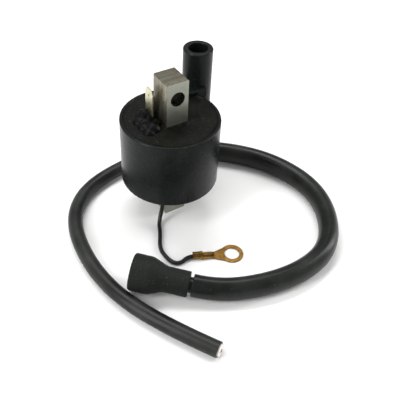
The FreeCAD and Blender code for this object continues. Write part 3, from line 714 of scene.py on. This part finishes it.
def lug_barrel():
    """Barrel rolled round the wire's jacket: a strip whose angle runs from 60 to 475 degrees, so
    that its wings overlap on top. The outer wing climbs by one wall thickness between 385 and 420
    degrees, and the mouth flares by a bell of 0.12 mm at each end."""
    wall, inner, start, end = 0.45, 1.03, BARREL_START, BARREL_END
    angle = np.radians(np.linspace(60.0, 475.0, 84))
    lift = (wall + 0.05) * smooth_step((angle - math.radians(385.0)) / math.radians(35.0))
    middle = inner + wall / 2 + lift
    tips = np.sqrt(np.clip(1.0 - np.linspace(-1.0, 1.0, 84) ** 30, 0.0, 1.0))
    turn = np.radians(np.linspace(0.0, 90.0, 6))
    along = np.concatenate([start + wall / 2 * (1 - np.cos(turn)), np.linspace(start + 0.6, end - 0.6, 9),
                            end - wall / 2 * (1 - np.cos(turn[::-1]))])
    half = wall / 2 * np.concatenate([np.sin(turn), np.ones(9), np.sin(turn[::-1])])
    flare = 0.12 * (np.exp(-((along - start) / 0.5) ** 2) + np.exp(-((along - end) / 0.5) ** 2))
    thick = np.multiply.outer(half, tips)
    centre = middle[None, :] + flare[:, None]
    radius = np.concatenate([centre + thick, (centre - thick)[:, ::-1]], axis=1)
    around = np.concatenate([angle, angle[::-1]])
    skew = along[:, None] + 0.25 * np.sin(around) * (along[:, None] - (start + end) / 2) / 5.0
    return lug_place(skew, radius * np.cos(around), WIRE_AXIS + radius * np.sin(around))


def lug_crimp():
    """Crimp on the bare strands: round below, and pressed into two lobes on top, so its radius is
    1.22 (1 - 0.34 exp(-((a - 90) / 20)^2)) at angle a in degrees, drawn in at both ends."""
    angle = np.linspace(0.0, 2.0 * np.pi, 72, endpoint=False)
    notch = np.exp(-((np.degrees(angle) - 90.0) / 20.0) ** 2)
    turn = np.radians(np.linspace(0.0, 90.0, 6))
    inset = 0.3 * (1 - np.cos(turn))
    along = np.concatenate([[CRIMP_START], CRIMP_START + inset,
                            np.linspace(CRIMP_START + 0.6, CRIMP_END - 0.5, 6),
                            CRIMP_END - inset[::-1], [CRIMP_END]])
    rounded, crimp_axis = 0.72 + 0.28 * np.sin(turn), WIRE_AXIS - 0.18
    share = np.concatenate([[0.0], rounded, np.ones(6), rounded[::-1], [0.0]])
    radius = np.multiply.outer(share, 1.22 * (1.0 - 0.34 * notch))
    return lug_place(along[:, None], radius * np.cos(angle), crimp_axis + radius * np.sin(angle))


def lug_channel():
    """Open channel that carries the barrel, the crimp and the neck: a sheet bent into a U whose
    walls are 1.3 mm high at the barrel and sink to nothing 15 mm along."""
    section = sheet_section(25, 0.12, 0.5)
    along = np.concatenate([[CHANNEL_START] * 2, np.linspace(CHANNEL_START + 0.02, CHANNEL_END - 0.02, 30),
                            [CHANNEL_END] * 2])
    thick = np.concatenate([[0.0, 0.7], np.ones(30), [0.7, 0.0]])
    wall = 1.35 * (1.0 - smooth_step((along - 10.5) / 4.7)) + 0.02
    base = 2.1 + 0.5 * smooth_step((along - 11.0) / 4.0)
    total = base + 2 * wall
    run = section[:, 0] * total[:, None] + section[:, 1] - total[:, None] / 2
    height = 0.25 + (section[:, 2] - 0.25) * thick[:, None]
    beyond = np.clip(np.abs(run) - base[:, None] / 2, 0.0, None)
    bend = 0.5
    turn = np.clip(beyond / bend, 0.0, np.pi / 2)
    rise = bend * (1 - np.cos(turn)) + np.clip(beyond - bend * np.pi / 2, 0.0, None)
    out = np.minimum(np.abs(run), base[:, None] / 2) + bend * np.sin(turn)
    sideways = np.sign(run) * (out - (height - 0.25) * np.sin(turn))
    upward = 0.12 + 0.25 + rise + (height - 0.25) * np.cos(turn)
    return lug_place(along[:, None], sideways, upward)


class COIL_OT_ring_terminal(bpy.types.Operator):
    """Make the brass ring terminal and the bare strands in its crimp"""
    bl_idname = "coil.ring_terminal"
    bl_label = "Ring terminal"

    def execute(self, context):
        colours = context.scene.coil_colours
        plate = lug_plate(context.scene.coil_sizes.lug_thickness / MM)
        surfaces = [(plate, True, True), (lug_barrel(), False, True), (lug_crimp(), False, True),
                    (lug_channel(), False, True)]
        add_piece("ring_terminal_brass", surfaces, stamped_brass(colours.brass), "coil",
                  "ring_terminal")
        _, heading, _ = lug_frame()
        strands = strand_bundle(
            lug_place(0.0, 0.0, 1.5), heading, 0.115 * MM, 6.2 * MM, 12.4 * MM, 9.0, 0.5 * MM)
        # Tarnished strands, painted darker still as painted shade in the crimp's channel.
        copper = bare_metal(
            "copper_strand_tarnished_and_shaded", darker(colours.copper, 0.7), linear("#4a2a1c"), 0.8, 0.4)
        add_piece("earth_strands", strands, copper, "coil", "wire_core")
        return {"FINISHED"}


class COIL_OT_earth_wire(bpy.types.Operator):
    """Lay the earth wire along its route"""
    bl_idname = "coil.earth_wire"
    bl_label = "Earth wire"

    def execute(self, context):
        wire = cord_curve("earth_wire", WIRE_ROUTE, context.scene.coil_sizes.wire_radius)
        wire.data.materials.append(
            extruded_jacket("pvc_wire", context.scene.coil_colours.wire, 0.28, (0.26, 0.38), 0.15))
        context.scene.collection.objects.link(wire)
        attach(wire, "coil")
        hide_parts("wire_jacket")
        return {"FINISHED"}


# ---- operators: coil -------------------------------------------------------------------------
def merged_copy(node, name):
    """Copy of a CAD node with its loose triangles merged into one skin and flat ones joined."""
    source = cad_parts[node].data
    points = np.empty(3 * len(source.vertices))
    source.vertices.foreach_get("co", points)
    corners = np.empty(len(source.loops), dtype=np.int64)
    source.loops.foreach_get("vertex_index", corners)
    mesh = bpy.data.meshes.new(name)
    mesh.from_pydata(points.reshape(-1, 3), [], corners.reshape(-1, 3))
    work = bmesh.new()
    work.from_mesh(mesh)
    bmesh.ops.remove_doubles(work, verts=work.verts, dist=1e-6)
    bmesh.ops.dissolve_limit(work, angle_limit=math.radians(0.5), verts=work.verts, edges=work.edges)
    work.to_mesh(mesh)
    work.free()
    piece = bpy.data.objects.new(name, mesh)
    bpy.context.scene.collection.objects.link(piece)
    return piece


class COIL_OT_core_stack(bpy.types.Operator):
    """Soften the plates of the bar core and give their two kinds of surface their finishes"""
    bl_idname = "coil.core_stack"
    bl_label = "Bar core"

    def execute(self, context):
        """A face belongs to a plate's rolled side where its normal lies along the stack."""
        core = merged_copy("core_laminations", "core_stack")
        mesh = core.data
        mesh.materials.append(rolled_steel(context.scene.coil_colours.steel))
        mesh.materials.append(sheared_steel(context.scene.coil_colours.sheared))
        normals = np.empty(3 * len(mesh.polygons))
        mesh.polygons.foreach_get("normal", normals)
        sheared = (np.abs(normals.reshape(-1, 3)[:, 1]) < 0.9).astype(np.int32)
        mesh.polygons.foreach_set("material_index", sheared)
        mesh.shade_smooth()
        mesh.set_sharp_from_angle(angle=math.radians(50.0))
        bevel = core.modifiers.new("plate_edges", "BEVEL")
        bevel.width = context.scene.coil_sizes.plate_edge
        bevel.segments = 2
        bevel.limit_method = "ANGLE"
        bevel.angle_limit = math.radians(50.0)
        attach(core, "coil")
        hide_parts("core_laminations")
        return {"FINISHED"}


class COIL_OT_cup_and_tower(bpy.types.Operator):
    """Give the moulded cup and the high-tension tower their finish"""
    bl_idname = "coil.cup_and_tower"
    bl_label = "Cup and tower"

    def execute(self, context):
        material = moulded_nylon(context.scene.coil_colours.moulding)
        dress("case_cup", material)
        dress("ht_tower", material)
        return {"FINISHED"}


def outside(x, y, low, high):
    """Distance from level points to an upright box, 0 inside it."""
    over_x = np.maximum(np.maximum(low.x - x, x - high.x), 0.0)
    over_y = np.maximum(np.maximum(low.y - y, y - high.y), 0.0)
    return np.hypot(over_x, over_y)


class COIL_OT_resin(bpy.types.Operator):
    """Give the cast resin its finish and its set surface, which climbs whatever it touches"""
    bl_idname = "coil.resin"
    bl_label = "Resin"

    def execute(self, context):
        """The set surface is a thin sheet over a polar grid from the core to the cup's wall. Its
        height is the resin's, plus rise exp(-distance / 0.55 mm) from the core, from the wall and
        from the tower's arm, plus two slow sine ripples of 0.03 mm."""
        material = cast_resin(context.scene.coil_colours.resin)
        dress("potting_fill", material)
        rise = context.scene.coil_sizes.resin_rise
        core_low, core_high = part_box("core_laminations")
        arm_low, arm_high = Vector((6.95, 9.33, 0.0)) * MM, Vector((30.0, 18.53, 0.0)) * MM
        resin_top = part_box("potting_fill")[1].z
        wall = 21.42 * MM
        angle = np.linspace(0.0, 2.0 * np.pi, 360, endpoint=False)
        with np.errstate(divide="ignore"):
            inner = np.minimum(core_high.x / np.abs(np.cos(angle)), core_high.y / np.abs(np.sin(angle)))
        inner = inner - 0.08 * MM
        share = soft_steps(0.0, 1.0, 84, 0.85)
        reach = inner[:, None] + share * (wall - inner[:, None])
        x, y = reach * np.cos(angle)[:, None], reach * np.sin(angle)[:, None]
        climb = (np.exp(-outside(x, y, core_low, core_high) / (0.55 * MM))
                 + 0.8 * np.exp(-(wall - reach) / (0.55 * MM))
                 + 0.8 * np.exp(-outside(x, y, arm_low, arm_high) / (0.4 * MM)))
        ripple = 0.03 * MM * (np.sin(x / (2.3 * MM) + 1.0) * np.sin(y / (2.9 * MM))
                              + np.sin((x + 2 * y) / (5.1 * MM)))
        height = resin_top + 0.07 * MM + rise * climb + ripple
        upper = np.stack([x, y, height], axis=-1)
        under = np.stack([x, y, np.full_like(x, resin_top + 0.002 * MM)], axis=-1)[:, ::-9]
        skin = np.concatenate([upper, under], axis=1)
        add_piece("resin_surface", [(skin, True, True)], material, "coil")
        return {"FINISHED"}


class COIL_OT_tab(bpy.types.Operator):
    """Make the push-on tab"""
    bl_idname = "coil.tab"
    bl_label = "Tab"

    def execute(self, context):
        """Stack of level sections: rounded rectangles as wide as the tab, narrower over the tapered
        tip and thinner over its last 1.2 mm. On the outer face, a dimple of depth d and radius r
        sinks by d (1 - (distance / r)^2)^2."""
        sizes = context.scene.coil_sizes
        low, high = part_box("terminal_blade")
        middle_x, middle_y = (low.x + high.x) / 2, (low.y + high.y) / 2
        half_x, half_y, edge = (high.x - low.x) / 2, (high.y - low.y) / 2, sizes.blade_edge
        top = high.z
        heights = np.concatenate([
            np.linspace(low.z, top - 5.6 * MM, 12), np.linspace(top - 5.4 * MM, top - 2.6 * MM, 22),
            np.linspace(top - 2.4 * MM, top - 0.4 * MM, 10), np.linspace(top - 0.3 * MM, top, 5)])
        taper = np.clip((heights - (top - 2.0 * MM)) / (2.0 * MM), 0.0, 1.0)
        wide = half_y - 1.5 * MM * taper
        thin = half_x - 0.22 * MM * smooth_step((heights - (top - 1.2 * MM)) / (1.2 * MM))
        near_tip = np.clip((heights - (top - 0.16 * MM)) / (0.16 * MM), 0.0, 1.0)
        crown = np.sqrt(1.0 - near_tip ** 2)
        thin, wide = thin - 0.14 * MM * (1.0 - crown), wide - 0.14 * MM * (1.0 - crown)
        arc = quarter(1.0, 5, 0, 90)
        across = np.linspace(-1.0, 1.0, 60)[1:-1]
        # One section, as (sign of x, share of y, arc x, arc y): outer face, corners, inner face, corners.
        outer = [(-1.0, share, -1.0, 0.0) for share in across]
        right = [(-1.0, 1.0, -a, b) for a, b in arc] + [(1.0, 1.0, a, b) for a, b in arc[::-1]]
        inner = [(1.0, share, 1.0, 0.0) for share in across[::-1]]
        left = [(1.0, -1.0, a, -b) for a, b in arc] + [(-1.0, -1.0, -a, -b) for a, b in arc[::-1]]
        section = np.array(outer + right + inner + left)
        x = section[:, 0] * (thin[:, None] - edge) + section[:, 2] * edge
        y = section[:, 1] * (wide[:, None] - edge) + section[:, 3] * edge
        z = np.broadcast_to(heights[:, None], x.shape)
        away = np.hypot(y, z - (top - 4.1 * MM)) / sizes.dimple_radius
        dent = sizes.dimple_depth * np.clip(1.0 - away ** 2, 0.0, 1.0) ** 2
        x = x + np.where(section[:, 0] < 0, dent, 0.0)
        walls = np.stack([middle_x + x, middle_y + y, z], axis=-1)
        foot = np.broadcast_to([middle_x, middle_y, low.z], walls[:1].shape)
        tip = np.broadcast_to([middle_x, middle_y, top], walls[:1].shape)
        stack = np.concatenate([foot, walls, tip])
        add_piece("push_on_tab", [(stack, False, True)], tinned_brass(context.scene.coil_colours.tin),
                  "coil", "terminal_blade", crease=60.0)
        return {"FINISHED"}


class COIL_OT_sealant(bpy.types.Operator):
    """Make the lumpy dab of sealant round the foot of the tab"""
    bl_idname = "coil.sealant"
    bl_label = "Sealant"

    def execute(self, context):
        """Height over a polar grid about the dab's middle: the fourth-power sum of eight domes, each
        h (1 - (distance / r)^2)^0.6, times a slow wrinkle. Along each ray the grid ends where the
        height falls to nothing, and a flat underside closes it."""
        domes = MM * np.array([
            # x, y, radius, height
            (-10.2, 6.0, 4.0, 4.4), (-13.4, 4.0, 3.2, 2.4), (-10.8, 2.0, 3.2, 2.3), (-13.6, -0.6, 3.0, 2.2),
            (-10.6, -3.0, 3.6, 3.1), (-7.9, -1.0, 2.3, 3.0), (-13.4, -4.4, 2.8, 1.8), (-8.4, 3.2, 2.6, 3.4)])
        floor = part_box("potting_fill")[1].z + 0.02 * MM
        middle = np.array([-10.9, 0.9]) * MM

        def height(x, y):
            away = np.hypot(x[..., None] - domes[:, 0], y[..., None] - domes[:, 1]) / domes[:, 2]
            dome = domes[:, 3] * np.clip(1.0 - away ** 2, 0.0, 1.0) ** 0.6
            return (dome ** 4).sum(axis=-1) ** 0.25

        angle = np.linspace(0.0, 2.0 * np.pi, 200, endpoint=False)
        cosine, sine = np.cos(angle)[:, None], np.sin(angle)[:, None]
        probe = np.linspace(0.0, 14.0 * MM, 900)
        inside = height(middle[0] + probe * cosine, middle[1] + probe * sine) > 1e-6
        edge = probe[inside.shape[1] - 1 - np.argmax(inside[:, ::-1], axis=1)]
        reach = edge[:, None] * np.sin(np.linspace(0.0, np.pi / 2, 60))
        x, y = middle[0] + reach * cosine, middle[1] + reach * sine
        sway = 2.0 * np.sin(y / (0.9 * MM))
        wrinkle = 1.0 + 0.03 * np.sin(x / (0.62 * MM) + sway) * np.sin(y / (0.55 * MM))
        top = floor + height(x, y) * wrinkle
        top[:, -1] = floor
        upper = np.stack([x, y, top], axis=-1)
        under = np.stack([x, y, np.full_like(x, floor)], axis=-1)[:, ::-6]
        under[:, -1] = [middle[0], middle[1], floor]
        skin = np.concatenate([upper, under[:, 1:]], axis=1)
        add_piece("sealant_dab", [(skin, True, False)], silicone_dab(context.scene.coil_colours.dab),
                  "coil", "terminal_sealant", crease=75.0)
        return {"FINISHED"}


class COIL_OT_windings(bpy.types.Operator):
    """Give the parts inside the cup and the tower their finishes"""
    bl_idname = "coil.windings"
    bl_label = "Inner parts"

    def execute(self, context):
        paper = pale_plastic("kraft_paper", linear("#b08c5c"), linear("#93714a"), 1.2, 0.75)
        film = pale_plastic("polyester_film", linear("#cdbb84"), linear("#b9a46c"), 6.0, 0.3)
        nylon = pale_plastic("natural_nylon_moulded", linear("#dcd8c8"), linear("#c9c4b2"), 5.0, 0.4)
        copper = bare_metal("copper_wire_enamelled", linear("#b5622f"), linear("#7a3c1e"), 1.5, 0.3)
        brass = bare_metal("brass_turned", linear("#c39a4e"), linear("#8f6a32"), 1.5, 0.25)
        dress("core_tube", paper)
        dress("primary_insulation", film)
        dress("primary_bobbin", nylon)
        dress("secondary_bobbin", nylon)
        dress("primary_winding", enamelled_winding("enamelled_copper_thick", 0.8))
        # The fine wire is under 0.1 mm thick. Its turns are drawn 0.3 mm apart, so that they show.
        dress("secondary_winding", enamelled_winding("enamelled_copper_fine", 0.3))
        for node in ("secondary_start_wire", "blade_link", "ht_link"):
            dress(node, copper)
        dress("tower_contact", brass)
        return {"FINISHED"}


class COIL_OT_stage(bpy.types.Operator):
    """Set up the pale floor, the soft light and the camera"""
    bl_idname = "coil.stage"
    bl_label = "Stage"

    def execute(self, context):
        scene = context.scene
        scene.view_settings.view_transform = "Standard"
        material, tree, shader, place = new_finish("studio_paper", Specular_IOR_Level=0.1)
        mottle = add_node(tree, "ShaderNodeTexNoise", {"Vector": place, "Scale": per(40.0), "Detail": 2.0})
        tint = add_node(tree, "ShaderNodeMix", {
            0: mottle.outputs[0], 6: linear("#f4f4f3"), 7: linear("#f8f8f7")}, data_type="RGBA")
        rough = add_node(tree, "ShaderNodeMapRange", {
            "Value": mottle.outputs[0], "To Min": 0.8, "To Max": 0.9})
        wire_up(tree, shader, tint.outputs[2], rough.outputs[0], mottle.outputs[0], 0.01)
        half, level = 3.0, -0.02 * MM
        mesh = bpy.data.meshes.new("studio_floor")
        corners = [(-half, -half), (half, -half), (half, half), (-half, half)]
        mesh.from_pydata([(x, y, level) for x, y in corners], [], [(0, 1, 2, 3)])
        mesh.materials.append(material)
        floor = bpy.data.objects.new("studio_floor", mesh)
        scene.collection.objects.link(floor)

        world = bpy.data.worlds.new("studio_tent")
        world.use_nodes = True
        world.node_tree.nodes.clear()
        glow = add_node(world.node_tree, "ShaderNodeBackground", {
            "Color": linear("#ffffff"), "Strength": 0.5})
        add_node(world.node_tree, "ShaderNodeOutputWorld", {"Surface": glow.outputs[0]})
        scene.world = world

        # Name, place, size and power in watts. Every lamp faces the same point, set in the loop below.
        lamps = [
            ("left_box", (-0.55, -0.05, 0.35), (0.16, 0.6), 3.1),
            ("right_box", (0.60, -0.20, 0.30), (0.13, 0.6), 2.6),
            ("top_box", (0.05, 0.25, 0.70), (0.6, 0.14), 3.6),
        ]
        for name, place, (width, height), power in lamps:
            data = bpy.data.lights.new(name, "AREA")
            data.shape = "RECTANGLE"
            data.size, data.size_y, data.energy = width, height, power
            lamp = bpy.data.objects.new(name, data)
            aim = Vector((0.0, -0.02, 0.03)) - Vector(place)
            turn = aim.to_track_quat("-Z", "Y").to_matrix().to_4x4()
            lamp.matrix_world = Matrix.Translation(place) @ turn
            scene.collection.objects.link(lamp)

        # The camera looks down by 43.29 degrees, faces 35 degrees from +Y towards +X, and is rolled
        # by 3.64 degrees.
        down, facing, roll = (math.radians(a) for a in (43.29, 35.0, 3.64))
        right = Vector((math.cos(facing), -math.sin(facing), 0.0))
        straight = Vector((math.sin(facing), math.cos(facing), 0.0))
        ahead = math.cos(down) * straight - math.sin(down) * Vector(UP)
        above = right.cross(ahead)
        axis_x = right * math.cos(roll) + above * math.sin(roll)
        axis_y = above * math.cos(roll) - right * math.sin(roll)
        data = bpy.data.cameras.new("camera")
        data.lens, data.sensor_width, data.clip_start = 55.37, 36.0, 0.01
        camera = bpy.data.objects.new("camera", data)
        turn = Matrix((axis_x, axis_y, -ahead)).transposed().to_4x4()
        camera.matrix_world = Matrix.Translation((-0.11687, -0.19408, 0.21612)) @ turn
        scene.collection.objects.link(camera)
        scene.camera = camera
        return {"FINISHED"}


# ---- panel and registration ------------------------------------------------------------------
OPERATORS = (
    COIL_OT_stage,
    COIL_OT_rubber_boot,
    COIL_OT_outer_sleeve,
    COIL_OT_cut_end,
    COIL_OT_high_tension_lead,
    COIL_OT_ring_terminal,
    COIL_OT_earth_wire,
    COIL_OT_core_stack,
    COIL_OT_cup_and_tower,
    COIL_OT_resin,
    COIL_OT_tab,
    COIL_OT_sealant,
    COIL_OT_windings,
)


class COIL_PT_looks(bpy.types.Panel):
    """Sizes, colours and pieces of the ignition coil"""
    bl_idname = "COIL_PT_looks"
    bl_label = "Ignition coil"
    bl_space_type = "VIEW_3D"
    bl_region_type = "UI"
    bl_category = "Coil"

    def draw(self, context):
        for group in (context.scene.coil_sizes, context.scene.coil_colours):
            box = self.layout.box()
            for name in group.__annotations__:
                box.prop(group, name)
        for operator in OPERATORS:
            self.layout.operator(operator.bl_idname)


CLASSES = (CoilSizes, CoilColours, *OPERATORS, COIL_PT_looks)


def register():
    for part in CLASSES:
        bpy.utils.register_class(part)
    bpy.types.Scene.coil_sizes = PointerProperty(type=CoilSizes)
    bpy.types.Scene.coil_colours = PointerProperty(type=CoilColours)


def unregister():
    del bpy.types.Scene.coil_colours
    del bpy.types.Scene.coil_sizes
    for part in reversed(CLASSES):
        bpy.utils.unregister_class(part)


def main():
    register()
    for operator in OPERATORS:
        group, name = operator.bl_idname.split(".")
        getattr(getattr(bpy.ops, group), name)()
    bpy.context.view_layer.update()


if __name__ == "__main__":
    main()
